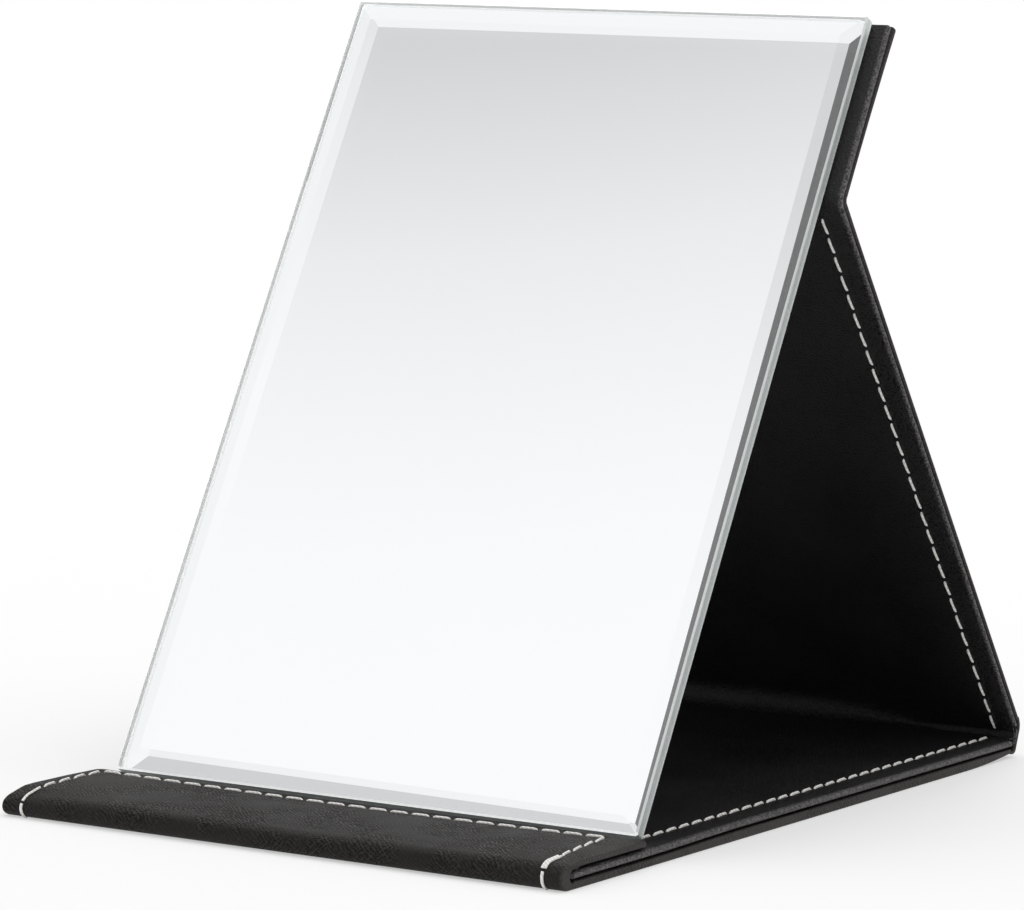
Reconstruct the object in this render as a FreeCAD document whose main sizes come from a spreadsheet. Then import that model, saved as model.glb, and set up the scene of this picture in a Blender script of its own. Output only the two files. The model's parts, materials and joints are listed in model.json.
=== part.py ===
import FreeCAD, Part
import math
import os

import Sketcher
from FreeCAD import Placement, Rotation, Vector

# Folding tabletop mirror: a bevelled glass hung on a leather-covered folder that stands by itself.
# The folder is one chain of panels: flap, base, spine, stand and strip. The strip carries the glass.
# Frame: X to the right, Y from the front to the rear, Z up, origin under the middle of the base.
# Lengths are in millimetres and angles in degrees.

SIZES = {
    # Folder
    "cover_width": 148.0,
    "base_depth": 215.0,
    "flap_depth": 36.8,
    "spine_height": 8.2,
    "spine_tilt": 69.0,
    "stand_length": 165.5,
    # Leather layers: a board between two skins
    "skin": 0.4,
    "base_board": 1.6,
    "panel_board": 0.8,
    "board_inset": 2.2,
    "corner_radius": 1.6,
    "rim_share": 0.46,
    # Folds
    "fold_leather": 0.8,
    "hinge_depth": 0.4,
    "fold_reach": 2.0,
    "valley_reach": 1.0,
    "lining_reach": 5.0,
    "roll_clearance": 0.3,
    "roll_tail": 1.5,
    # Spine
    "spine_cover": 1.2,
    "spine_lining": 0.8,
    # Mirror
    "glass_width": 140.0,
    "glass_height": 201.5,
    "glass_thick": 3.2,
    "bevel_width": 6.5,
    "bevel_drop": 1.0,
    "silver_thick": 0.2,
    "silver_inset": 0.5,
    "hinge_height": 157.3,
    "foot_clearance": 0.5,
    "strip_drop": 0.2,
    "adhesive_thick": 0.3,
    "adhesive_margin": 3.0,
    # Magnetic closure
    "magnet_radius": 6.0,
    "magnet_spacing": 84.0,
    "magnet_clearance": 0.2,
    "magnet_edge": 10.0,
}

NEARLY_ZERO = 1e-6

document = FreeCAD.newDocument("FoldingMirror")
pieces = []


def worked_out(size):
    """Lengths and angles that follow from the driving sizes, with the mirror's foot standing on the base."""
    base_layer = size["base_board"] + 2 * size["skin"]
    panel_layer = size["panel_board"] + 2 * size["skin"]
    strip_thick = 2 * panel_layer
    # The flap turns about the middle of the stack of base and flap, a little below the middle of the lining's front end.
    roll_outer = base_layer + panel_layer / 2
    roll_inner = 2 * base_layer + size["roll_clearance"] - roll_outer
    lower_axis_y = size["base_depth"] / 2
    spine_turn = math.radians(size["spine_tilt"])
    upper_axis_y = lower_axis_y + size["spine_height"] * math.cos(spine_turn)
    upper_axis_z = size["hinge_depth"] + size["spine_height"] * math.sin(spine_turn)
    # The triangle of the two spine and stand axes and the foot line of the glass gives both rest angles.
    foot_y = size["flap_depth"] + size["foot_clearance"] + size["glass_thick"] - size["base_depth"] / 2
    foot_z = 2 * base_layer
    glass_back = strip_thick + size["adhesive_thick"] + size["silver_thick"]
    lever_rise = glass_back - size["hinge_depth"]
    lever = math.hypot(size["hinge_height"], lever_rise)
    span = math.hypot(upper_axis_y - foot_y, upper_axis_z - foot_z)
    stand_length = size["stand_length"]
    span_turn = math.atan2(foot_z - upper_axis_z, foot_y - upper_axis_y) % math.tau
    corner = math.acos((stand_length**2 + span**2 - lever**2) / (2 * stand_length * span))
    stand_turn = span_turn - corner
    top_axis_y = upper_axis_y + stand_length * math.cos(stand_turn)
    top_axis_z = upper_axis_z + stand_length * math.sin(stand_turn)
    lever_turn = math.atan2(foot_z - top_axis_z, foot_y - top_axis_y) % math.tau
    mirror_turn = lever_turn - math.atan2(lever_rise, -size["hinge_height"])
    strip_length = size["glass_height"] - size["hinge_height"] - size["strip_drop"] - size["valley_reach"]
    return {
        "base_layer": base_layer,
        "panel_layer": panel_layer,
        "base_rim": base_layer * size["rim_share"],
        "panel_rim": panel_layer * size["rim_share"],
        "spine_rim": size["spine_lining"] * size["rim_share"],
        "roll_outer": roll_outer,
        "roll_inner": roll_inner,
        "roll_layer": roll_outer - roll_inner,
        "roll_rim": (roll_outer - roll_inner) * size["rim_share"],
        "channel_radius": base_layer / 2 + size["roll_clearance"],
        "channel_offset": 1.5 * base_layer - roll_outer,
        "base_cover_length": size["base_depth"] - roll_outer - size["fold_reach"],
        "base_lining_length": size["base_depth"] - base_layer - size["fold_reach"],
        "flap_length": size["flap_depth"] - roll_outer - size["roll_tail"],
        "spine_length": size["spine_height"] - 2 * size["fold_reach"],
        "stand_cover_length": stand_length - size["fold_reach"] - size["valley_reach"],
        "stand_lining_length": stand_length - size["lining_reach"] - size["valley_reach"],
        "strip_length": strip_length,
        "glass_back": glass_back,
        "lower_axis_y": lower_axis_y,
        "upper_axis_y": upper_axis_y,
        "upper_axis_z": upper_axis_z,
        "top_axis_y": top_axis_y,
        "top_axis_z": top_axis_z,
        "stand_angle": math.degrees(stand_turn),
        "mirror_angle": math.degrees(mirror_turn),
    }


WORKED = worked_out(SIZES)
VALUES = {**SIZES, **WORKED}

sheet = document.addObject("Spreadsheet::Sheet", "Sizes")
for row, (alias, value) in enumerate(VALUES.items(), start=1):
    sheet.set(f"A{row}", alias)
    sheet.set(f"B{row}", str(value))
    sheet.setAlias(f"B{row}", alias)
document.recompute()


def cell(name):
    """Expression that reads one value of the sheet."""
    return f"Sizes.{name}"


def panel_frame(axis_y, axis_z, angle):
    """Frame of one panel of the chain: origin on its hinge axis, Y along the panel, Z to its lined side."""
    return Placement(Vector(0, axis_y, axis_z), Rotation(Vector(1, 0, 0), angle))


BASE = panel_frame(-VALUES["base_depth"] / 2, VALUES["hinge_depth"], 0)
SPINE = panel_frame(VALUES["lower_axis_y"], VALUES["hinge_depth"], VALUES["spine_tilt"])
STAND = panel_frame(VALUES["upper_axis_y"], VALUES["upper_axis_z"], VALUES["stand_angle"])
MIRROR = panel_frame(VALUES["top_axis_y"], VALUES["top_axis_z"], VALUES["mirror_angle"])


def seat(piece, frame, along, above):
    """Puts a piece into a panel's frame, measured along the panel and up from its outer face."""
    piece.Placement = frame.multiply(Placement(Vector(0, along, above - VALUES["hinge_depth"]), Rotation()))
    pieces.append(piece)
    return piece


def new_body(label):
    return document.addObject("PartDesign::Body", label)


def origin_feature(body, role):
    return next(feature for feature in body.Origin.OriginFeatures if feature.Role == role)


def flat_sketch(body, name, start, lift):
    """Empty sketch on the body's ground plane, moved along the panel and up."""
    sketch = body.newObject("Sketcher::SketchObject", name)
    sketch.AttachmentSupport = [(origin_feature(body, "XY_Plane"), "")]
    sketch.MapMode = "FlatFace"
    sketch.setExpression("AttachmentOffset.Base.y", start)
    sketch.setExpression("AttachmentOffset.Base.z", lift)
    return sketch


def bind(sketch, index, name, expression):
    sketch.renameConstraint(index, name)
    sketch.setExpression(f"Constraints.{name}", expression)


def rectangle(body, name, width, length, start="0", lift="0"):
    """Rectangle centred across the panel, from the sketch's X axis onwards."""
    sketch = flat_sketch(body, name, start, lift)
    corners = [Vector(-1, 0, 0), Vector(1, 0, 0), Vector(1, 1, 0), Vector(-1, 1, 0)]
    for index, corner in enumerate(corners):
        sketch.addGeometry(Part.LineSegment(corner, corners[(index + 1) % len(corners)]))
    for index in range(len(corners)):
        sketch.addConstraint(Sketcher.Constraint("Coincident", index, 2, (index + 1) % len(corners), 1))
    sketch.addConstraint(Sketcher.Constraint("Horizontal", 2))
    sketch.addConstraint(Sketcher.Constraint("Vertical", 1))
    sketch.addConstraint(Sketcher.Constraint("Vertical", 3))
    sketch.addConstraint(Sketcher.Constraint("Symmetric", 0, 1, 0, 2, -2))
    sketch.addConstraint(Sketcher.Constraint("PointOnObject", 0, 1, -1))
    bind(sketch, sketch.addConstraint(Sketcher.Constraint("DistanceX", 0, 1, 0, 2, 1)), "width", width)
    bind(sketch, sketch.addConstraint(Sketcher.Constraint("DistanceY", 1, 1, 1, 2, 1)), "length", length)
    return sketch


def pad(body, sketch, thickness):
    feature = body.newObject("PartDesign::Pad", "Pad")
    feature.Profile = sketch
    feature.setExpression("Length", thickness)
    document.recompute()
    return feature


def pocket_up(body, sketch, depth):
    """Cut from the sketch upwards, checked to take material away."""
    before = body.Shape.Volume
    feature = body.newObject("PartDesign::Pocket", "Pocket")
    feature.Profile = sketch
    feature.Reversed = True
    feature.setExpression("Length", depth)
    document.recompute()
    if not body.Shape.Volume < before:
        raise ValueError(f"{body.Label}: the pocket cuts nothing")
    return feature


def round_edges(body, base, chosen, radius):
    """Fillet on the edges of the base feature that the test picks."""
    names = [f"Edge{number}" for number, edge in enumerate(base.Shape.Edges, start=1) if chosen(edge.BoundBox)]
    feature = body.newObject("PartDesign::Fillet", "Fillet")
    feature.Base = (base, names)
    feature.setExpression("Radius", radius)
    document.recompute()
    return feature


def soften(body, base, length, rim, joined):
    """Small corners and turned rims all round a layer, apart from the ends that run on into a fold."""

    def at_joined_end(box):
        ends = {"start": 0, "end": length}
        return any(abs(box.YMin - ends[name]) < NEARLY_ZERO and box.YLength < NEARLY_ZERO for name in joined)

    def free_corner(box):
        upright = box.ZLength > NEARLY_ZERO and max(box.XLength, box.YLength) < NEARLY_ZERO
        return upright and not at_joined_end(box)

    def free_rim(box):
        return box.ZLength < NEARLY_ZERO and not at_joined_end(box)

    if len(joined) < 2:
        base = round_edges(body, base, free_corner, cell("corner_radius"))
    return round_edges(body, base, free_rim, rim)


def layer(label, length, thickness, rim, joined, board=None):
    """One leather layer as wide as the folder, hollowed for the board that it is turned round."""
    body = new_body(label)
    blank = pad(body, rectangle(body, "Outline", cell("cover_width"), cell(length)), cell(thickness))
    soften(body, blank, VALUES[length], cell(rim), joined)
    if board:
        hollow = board_outline(body, length, cell("skin"))
        pocket_up(body, hollow, cell(board))
    return body


def board_outline(body, length, lift):
    """Outline of the board in a layer: the layer less one inset all round."""
    width = f"{cell('cover_width')} - 2 * {cell('board_inset')}"
    inner = f"{cell(length)} - 2 * {cell('board_inset')}"
    return rectangle(body, "BoardOutline", width, inner, cell("board_inset"), lift)


def board(label, length, thickness, magnet_row=None):
    """Stiff board inside a layer, with two holes where it carries the closure's discs."""
    body = new_body(label)
    pad(body, board_outline(body, length, "0"), cell(thickness))
    if magnet_row:
        pocket_up(body, disc_holes(body, magnet_row), cell(thickness))
    return body


def disc_holes(body, row):
    """Two circles on one row across the panel, symmetric about its middle."""
    sketch = flat_sketch(body, "DiscHoles", row, "0")
    radius = f"{cell('magnet_radius')} + {cell('magnet_clearance')}"
    for side in (-1, 1):
        sketch.addGeometry(Part.Circle(Vector(side, 0, 0), Vector(0, 0, 1), 1 / 2))
    sketch.addConstraint(Sketcher.Constraint("Equal", 0, 1))
    sketch.addConstraint(Sketcher.Constraint("Symmetric", 0, 3, 1, 3, -2))
    sketch.addConstraint(Sketcher.Constraint("PointOnObject", 0, 3, -1))
    bind(sketch, sketch.addConstraint(Sketcher.Constraint("Radius", 0, 1)), "radius", radius)
    spacing = sketch.addConstraint(Sketcher.Constraint("DistanceX", 0, 3, 1, 3, 1))
    bind(sketch, spacing, "spacing", cell("magnet_spacing"))
    return sketch


def discs(label, thickness, frame, along, above):
    """The pair of discs of the magnetic closure, one piece each, in the holes of their board."""
    for side, name in ((-1, "left"), (1, "right")):
        disc = document.addObject("Part::Cylinder", f"{label}_{name}")
        disc.setExpression("Radius", cell("magnet_radius"))
        disc.setExpression("Height", cell(thickness))
        seat(disc, frame, along, above)
        disc.Placement = disc.Placement.multiply(Placement(Vector(side * VALUES["magnet_spacing"] / 2, 0, 0), Rotation()))


def fold(label, frame, end, turn, reach):
    """Leather web bent round between two panels, from the outer face of the first one's end.

    A turn above zero folds towards the lined side, so the web's outer face is the larger cylinder."""
    slope = math.tan(math.radians(abs(turn)) / 2)
    depth = VALUES["hinge_depth"]
    leather = VALUES["fold_leather"]
    towards_lining = turn > 0
    face_radius = reach / slope + (depth if towards_lining else -depth)
    larger = face_radius if towards_lining else face_radius + leather
    centre_above = face_radius if towards_lining else -face_radius
    sign = 1 if towards_lining else -1
    across = Rotation(Vector(0, 0, -sign), Vector(0, sign, 0), Vector(sign, 0, 0), "ZXY")
    cylinders = []
    for name, radius in (("Larger", larger), ("Smaller", larger - leather)):
        cylinder = document.addObject("Part::Cylinder", f"{label}{name}")
        cylinder.Radius = radius
        cylinder.Angle = abs(turn)
        cylinder.setExpression("Height", cell("cover_width"))
        cylinder.Placement = Placement(Vector(-sign * VALUES["cover_width"] / 2, 0, 0), across)
        cylinders.append(cylinder)
    web = document.addObject("Part::Cut", label)
    web.Base, web.Tool = cylinders
    document.recompute()
    return seat(web, frame, end, centre_above)


def make_base():
    cover = layer("base_cover", "base_cover_length", "base_layer", "base_rim", ("start", "end"), "base_board")
    seat(cover, BASE, VALUES["roll_outer"], 0)
    cover_board = board("base_cover_board", "base_cover_length", "base_board")
    seat(cover_board, BASE, VALUES["roll_outer"], VALUES["skin"])
    lining = layer("base_lining", "base_lining_length", "base_layer", "base_rim", (), "base_board")
    seat(lining, BASE, VALUES["base_layer"], VALUES["base_layer"])
    lining_board = board("base_lining_board", "base_lining_length", "base_board")
    seat(lining_board, BASE, VALUES["base_layer"], VALUES["base_layer"] + VALUES["skin"])


def make_flap():
    above = 2 * VALUES["base_layer"]
    row = f"{cell('flap_length')} - {cell('magnet_edge')}"
    start = VALUES["roll_outer"] + VALUES["roll_tail"]
    cover = layer("flap_cover", "flap_length", "panel_layer", "panel_rim", ("start",), "panel_board")
    seat(cover, BASE, start, above)
    flap_board = board("flap_board", "flap_length", "panel_board", row)
    seat(flap_board, BASE, start, above + VALUES["skin"])
    discs("flap_magnet", "panel_board", BASE, VALUES["flap_depth"] - VALUES["magnet_edge"], above + VALUES["skin"])


def make_flap_roll():
    """Rolled nose: the cover leather goes round the lining's front end and runs on flat into the flap."""
    body = new_body("roll_blank")
    roll = body.newObject("PartDesign::Revolution", "Roll")
    roll.Profile = rectangle(body, "RollSection", cell("cover_width"), cell("roll_outer"))
    roll.ReferenceAxis = (origin_feature(body, "X_Axis"), [""])
    roll.Angle = 180
    document.recompute()
    tail_section = rectangle(body, "TailSection", cell("cover_width"), cell("roll_layer"), cell("roll_inner"))
    tail = pad(body, tail_section, cell("roll_tail"))
    tail.Reversed = True
    document.recompute()

    def side_rim(box):
        return box.XLength < NEARLY_ZERO and max(box.YMax, -box.ZMin) > VALUES["roll_inner"] + NEARLY_ZERO

    round_edges(body, tail, side_rim, cell("roll_rim"))
    channel = document.addObject("Part::Cylinder", "RollChannel")
    channel.setExpression("Radius", cell("channel_radius"))
    channel.setExpression("Height", cell("cover_width"))
    channel.Placement = Placement(Vector(-VALUES["cover_width"] / 2, 0, 0), Rotation(Vector(0, 1, 0), 90))
    nose = document.addObject("Part::Cut", "flap_roll")
    nose.Base, nose.Tool = body, channel
    upright = Rotation(Vector(1, 0, 0), 90)
    body.Placement = Placement(Vector(), upright)
    offset = VALUES["channel_offset"]
    channel.Placement = Placement(Vector(0, offset, offset), Rotation()).multiply(channel.Placement)
    document.recompute()
    seat(nose, BASE, VALUES["roll_outer"], VALUES["roll_outer"])


def make_spine():
    reach = VALUES["fold_reach"]
    cover = layer("spine_cover", "spine_length", "spine_cover", "spine_rim", ("start", "end"))
    seat(cover, SPINE, reach, 0)
    lining = layer("spine_lining", "spine_length", "spine_lining", "spine_rim", ("start", "end"))
    seat(lining, SPINE, reach, VALUES["spine_cover"])


def make_stand():
    reach = VALUES["fold_reach"]
    length = "stand_cover_length"
    cover = layer("stand_cover", length, "panel_layer", "panel_rim", ("start", "end"), "panel_board")
    seat(cover, STAND, reach, 0)
    seat(board("stand_cover_board", length, "panel_board"), STAND, reach, VALUES["skin"])
    reach = VALUES["lining_reach"]
    length = "stand_lining_length"
    lining = layer("stand_lining", length, "panel_layer", "panel_rim", (), "panel_board")
    seat(lining, STAND, reach, VALUES["panel_layer"])
    lining_board = board("stand_lining_board", length, "panel_board")
    seat(lining_board, STAND, reach, VALUES["panel_layer"] + VALUES["skin"])


def make_strip():
    reach = VALUES["valley_reach"]
    row = f"{cell('strip_length')} - {cell('magnet_edge')}"
    along = reach + VALUES["strip_length"] - VALUES["magnet_edge"]
    cover = layer("strip_cover", "strip_length", "panel_layer", "panel_rim", ("start",), "panel_board")
    seat(cover, MIRROR, reach, 0)
    seat(board("strip_cover_board", "strip_length", "panel_board", row), MIRROR, reach, VALUES["skin"])
    discs("strip_keeper", "panel_board", MIRROR, along, VALUES["skin"])
    lining = layer("strip_lining", "strip_length", "panel_layer", "panel_rim", (), "panel_board")
    seat(lining, MIRROR, reach, VALUES["panel_layer"])
    lining_board = board("strip_lining_board", "strip_length", "panel_board")
    seat(lining_board, MIRROR, reach, VALUES["panel_layer"] + VALUES["skin"])


def plate(label, width, length, thickness, along, above):
    """Plain flat plate in the mirror's frame."""
    body = new_body(label)
    pad(body, rectangle(body, "Outline", width, length), thickness)
    return seat(body, MIRROR, along, above)


def make_mirror():
    foot = -VALUES["hinge_height"]
    margin = f"2 * {cell('adhesive_margin')}"
    plate("mirror_adhesive", f"{cell('glass_width')} - {margin}", f"{cell('strip_length')} - {margin}",
          cell("adhesive_thick"), VALUES["valley_reach"] + VALUES["adhesive_margin"], 2 * VALUES["panel_layer"])
    inset = f"2 * {cell('silver_inset')}"
    plate("mirror_silver", f"{cell('glass_width')} - {inset}", f"{cell('glass_height')} - {inset}",
          cell("silver_thick"), foot + VALUES["silver_inset"], VALUES["glass_back"] - VALUES["silver_thick"])
    make_glass(foot)


def make_glass(foot):
    """Glass with a ground side edge and a wide bevel that slopes up to the flat of its face."""
    body = new_body("mirror_glass")
    shoulder = f"{cell('glass_thick')} - {cell('bevel_drop')}"
    bevel = f"2 * {cell('bevel_width')}"
    pad(body, rectangle(body, "Outline", cell("glass_width"), cell("glass_height")), shoulder)
    lower = rectangle(body, "BevelFoot", cell("glass_width"), cell("glass_height"), lift=shoulder)
    upper = rectangle(body, "BevelTop", f"{cell('glass_width')} - {bevel}", f"{cell('glass_height')} - {bevel}",
                      cell("bevel_width"), cell("glass_thick"))
    loft = body.newObject("PartDesign::AdditiveLoft", "Bevel")
    loft.Profile = lower
    loft.Sections = [upper]
    loft.Ruled = True
    document.recompute()
    seat(body, MIRROR, foot, VALUES["glass_back"])


def make_folds():
    reach = VALUES["fold_reach"]
    stand_end = VALUES["stand_length"] - VALUES["valley_reach"]
    fold("rear_lower_fold", BASE, VALUES["base_depth"] - reach, VALUES["spine_tilt"], reach)
    fold("rear_upper_fold", SPINE, VALUES["spine_height"] - reach, VALUES["stand_angle"] - VALUES["spine_tilt"], reach)
    fold("top_fold", STAND, stand_end, VALUES["mirror_angle"] - VALUES["stand_angle"], VALUES["valley_reach"])


make_base()
make_flap()
make_flap_roll()
make_spine()
make_stand()
make_strip()
make_mirror()
make_folds()
document.recompute()

for item in document.Objects:
    if "Invalid" in item.State or "Error" in item.State:
        raise ValueError(f"{item.Label} failed: {item.State}")
for piece in pieces:
    if piece.Shape.isNull() or not piece.Shape.isValid():
        raise ValueError(f"{piece.Label} has no valid shape")

os.makedirs("parts", exist_ok=True)
for piece in pieces:
    piece.Shape.exportStep(f"parts/{piece.Label}.step")
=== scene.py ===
import json
import math
from dataclasses import dataclass

import bmesh
import bpy
from bmesh.types import BMEdge, BMVert
from mathutils import Matrix, Vector


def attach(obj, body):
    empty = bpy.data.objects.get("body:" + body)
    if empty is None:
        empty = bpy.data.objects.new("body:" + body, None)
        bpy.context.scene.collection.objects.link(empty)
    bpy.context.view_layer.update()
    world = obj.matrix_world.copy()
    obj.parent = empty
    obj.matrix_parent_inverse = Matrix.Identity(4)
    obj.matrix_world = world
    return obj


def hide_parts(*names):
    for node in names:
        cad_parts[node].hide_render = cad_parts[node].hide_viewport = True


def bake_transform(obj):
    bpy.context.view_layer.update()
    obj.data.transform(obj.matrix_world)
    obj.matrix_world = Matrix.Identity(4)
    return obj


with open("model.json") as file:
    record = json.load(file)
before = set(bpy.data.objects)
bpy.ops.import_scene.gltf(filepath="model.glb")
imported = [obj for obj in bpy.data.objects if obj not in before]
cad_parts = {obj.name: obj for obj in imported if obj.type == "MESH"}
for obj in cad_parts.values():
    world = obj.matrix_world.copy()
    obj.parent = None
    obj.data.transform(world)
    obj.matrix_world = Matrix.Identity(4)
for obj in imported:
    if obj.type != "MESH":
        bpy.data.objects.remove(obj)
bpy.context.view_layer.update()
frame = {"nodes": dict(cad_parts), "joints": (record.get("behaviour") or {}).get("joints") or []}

# Lengths are millimetres in a panel's own frame: x across, y along it, z up from its outer face
MM = 0.001
HALF_WIDTH = 74.0
HINGE_DEPTH = 0.4
BASE_DEPTH = 215.0
BASE_END = 213.0
FLAP_END = 36.8
BASE_LAYER = 2.4
PANEL_LAYER = 1.6
LINING_TOP = 2 * BASE_LAYER
PANEL_TOP = 2 * PANEL_LAYER
FLAP_TOP = LINING_TOP + PANEL_LAYER
FOLD_REACH = 2.0
VALLEY_REACH = 1.0
SPINE_HEIGHT = 8.2
STAND_LENGTH = 165.5
STAND_END = STAND_LENGTH - VALLEY_REACH
STRIP_END = 44.0

# Places closer than this are the same, or lie on the same face
SAME = 1e-4
NEAR = 0.02

joints = {joint["name"]: joint for joint in frame["joints"]}


def turn_of(name):
    """Angle from the standing pose to a joint's far limit."""
    return math.radians(joints[name]["range_deg"][1])


SPINE_TILT = turn_of("spine_hinge")
STAND_TILT = SPINE_TILT + turn_of("stand_hinge")
MIRROR_TILT = STAND_TILT - turn_of("mirror_hinge")


def panel_frame(hinge, tilt):
    """Matrix from a panel's millimetres to the part's metres; its hinge lies inside the face."""
    turned = Matrix.Translation(hinge) @ Matrix.Rotation(tilt, 4, "X")
    return turned @ Matrix.Diagonal((MM, MM, MM, 1)) @ Matrix.Translation((0, 0, -HINGE_DEPTH))


BASE = panel_frame((0, -BASE_DEPTH / 2 * MM, HINGE_DEPTH * MM), 0)
SPINE = panel_frame(joints["spine_hinge"]["pos_m"], SPINE_TILT)
STAND = panel_frame(joints["stand_hinge"]["pos_m"], STAND_TILT)
MIRROR = panel_frame(joints["mirror_hinge"]["pos_m"], MIRROR_TILT)


def clamp(value):
    return min(max(value, 0.0), 1.0)


def smooth_step(value):
    """0 up to 0, 1 from 1 on, and a soft change between."""
    share = clamp(value)
    return share * share * (3 - 2 * share)


class Shade:
    """One value in a finish: a socket whose arithmetic adds Math nodes."""

    def __init__(self, finish, socket):
        self.finish = finish
        self.socket = socket

    def __add__(self, other):
        return self.finish.math("ADD", self, other)

    def __radd__(self, other):
        return self.finish.math("ADD", other, self)

    def __sub__(self, other):
        return self.finish.math("SUBTRACT", self, other)

    def __rsub__(self, other):
        return self.finish.math("SUBTRACT", other, self)

    def __mul__(self, other):
        return self.finish.math("MULTIPLY", self, other)

    def __rmul__(self, other):
        return self.finish.math("MULTIPLY", other, self)


class Finish:
    """Node tree of one material, or of the world, written as expressions."""

    def __init__(self, owner):
        self.owner = owner
        owner.use_nodes = True
        self.tree = owner.node_tree
        self.tree.nodes.clear()

    def node(self, kind, settings=None, sockets=None, output=0):
        """Adds a node: its settings first, then the values or links of its sockets."""
        made = self.tree.nodes.new(kind)
        for name, value in (settings or {}).items():
            if name == "stops":
                self.set_stops(made.color_ramp.elements, value)
            else:
                setattr(made, name, value)
        for key, value in (sockets or {}).items():
            if isinstance(value, Shade):
                self.tree.links.new(value.socket, made.inputs[key])
            else:
                made.inputs[key].default_value = value
        return Shade(self, made.outputs[output]) if made.outputs else None

    def set_stops(self, elements, stops):
        while len(elements) < len(stops):
            elements.new(1.0)
        for element, (position, colour) in zip(elements, stops):
            element.position = position
            element.color = colour

    def math(self, operation, *values):
        return self.node("ShaderNodeMath", {"operation": operation}, dict(enumerate(values)))

    def object_place(self):
        """Place in the part's metres."""
        return self.node("ShaderNodeTexCoord", None, None, "Object")

    def own_place(self, attribute):
        """Place in the millimetres that a hide or thread carries as an attribute."""
        return self.node("ShaderNodeAttribute", {"attribute_name": attribute}, None, "Vector")

    def ray(self, kind):
        return self.node("ShaderNodeLightPath", None, None, f"Is {kind} Ray")

    def dot(self, vector, direction):
        settings = {"operation": "DOT_PRODUCT"}
        return self.node("ShaderNodeVectorMath", settings, {0: vector, 1: direction}, "Value")

    def off_middle(self, place):
        """Distance of a place from the middle line of its panel."""
        return self.math("ABSOLUTE", self.dot(place, (1.0, 0.0, 0.0)))

    def mix(self, share, first, second):
        """Colour between two colours."""
        settings = {"data_type": "RGBA"}
        return self.node("ShaderNodeMix", settings, {0: share, 6: first, 7: second}, 2)

    def between(self, value, low, high, start=0.0, stop=1.0):
        """Value taken from one range to another and kept inside it."""
        sockets = {"Value": value, "From Min": low, "From Max": high, "To Min": start,
                   "To Max": stop}
        return self.node("ShaderNodeMapRange", {"clamp": True}, sockets)

    def noise(self, place, scale, detail=2.0):
        sockets = {"Vector": place, "Scale": scale, "Detail": detail}
        return self.node("ShaderNodeTexNoise", None, sockets)

    def bump(self, height, depth, strength):
        sockets = {"Height": height, "Distance": depth, "Strength": strength}
        return self.node("ShaderNodeBump", None, sockets)

    def surface(self, sockets):
        """Ends the tree in one Principled shader."""
        shader = self.node("ShaderNodeBsdfPrincipled", None, sockets)
        self.node("ShaderNodeOutputMaterial", None, {"Surface": shader})
        return self.owner


def new_finish(name):
    return Finish(bpy.data.materials.new(name))


def grey(level):
    return (level, level, level, 1.0)


def cross_grained_leather():
    """Charcoal leather with a pressed cross-hatched grain, paler where the grain is rubbed, and a
    highlight painted on its side rims.
    """
    f = new_finish("cross_grained_leather")
    place = f.own_place("hide_place")
    across, along, waver = 4.9, 5.2, 15.0
    one_way = f.dot(place, (across, along, along)) + waver * f.noise(place, 0.35)
    other_way = f.dot(place, (across, -along, along)) + waver * f.noise(place, 0.3)
    crossing = f.between(f.noise(place, 0.12), 0.42, 0.58, 0.0, 0.7)
    ridges = f.math("MAXIMUM", f.math("SINE", one_way), f.math("SINE", other_way) * crossing)
    worn = f.between(f.noise(place, 0.9), 0.3, 0.6, 0.25, 1.0)
    pressed = f.between(f.noise(place, 0.065), 0.44, 0.56, 0.20, 1.15)
    mean = 0.42
    grain = mean + (f.between(ridges, -0.7, 1.0) * worn - mean) * pressed
    pores = f.noise(place, 4.0, 3.0)
    patches = f.between(f.noise(place, 0.06, 3.0), 0.35, 0.65)
    rubbed = f.between(grain + 0.3 * pores + 0.10 * patches, 0.36, 1.02)
    hide = f.mix(rubbed, (0.0022, 0.0017, 0.0017, 1), (0.0305, 0.0236, 0.0218, 1))
    # Painted highlight: the side rims get a paler colour that stands in for the light they catch
    painted_rim_sheen = f.mix(pores, grey(0.0), (0.094, 0.084, 0.082, 1))
    rim_sheen_mask = f.between(f.off_middle(place), 73.2, 73.9, 0.0, 0.8)
    return f.surface({
        "Base Color": f.mix(rim_sheen_mask, hide, painted_rim_sheen),
        "Roughness": 0.62 - 0.22 * grain + 0.06 * patches,
        "Specular IOR Level": 0.18,
        "Normal": f.bump(grain + 0.35 * pores, 0.00040, 1.0),
    })


def smooth_lining_leather():
    """Black lining leather, with fine pores and a soft sheen painted as paler colour on its turned
    rims.
    """
    f = new_finish("smooth_lining_leather")
    place = f.own_place("hide_place")
    pores = f.between(f.noise(place, 1.9, 3.0), 0.4, 0.6)
    creases = f.noise(place, 0.45)
    patches = f.between(f.noise(place, 0.05, 3.0), 0.35, 0.65)
    tone = f.between(pores + 0.25 * patches, 0.2, 1.1)
    hide = f.mix(tone, (0.0020, 0.0018, 0.0020, 1), (0.0150, 0.0142, 0.0147, 1))
    # Painted highlight: a paler colour on the side rims stands in for the sheen of light on them
    painted_rim_sheen = f.mix(pores, (0.022, 0.020, 0.021, 1), (0.142, 0.134, 0.135, 1))
    rim_sheen_mask = f.between(f.off_middle(place), 73.0, 73.8, 0.0, 0.9)
    return f.surface({
        "Base Color": f.mix(rim_sheen_mask, hide, painted_rim_sheen),
        "Roughness": 0.38 + 0.08 * patches + 0.14 * pores,
        "Specular IOR Level": 0.32,
        "Normal": f.bump(pores + 0.6 * creases, 0.00014, 0.6),
    })


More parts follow.
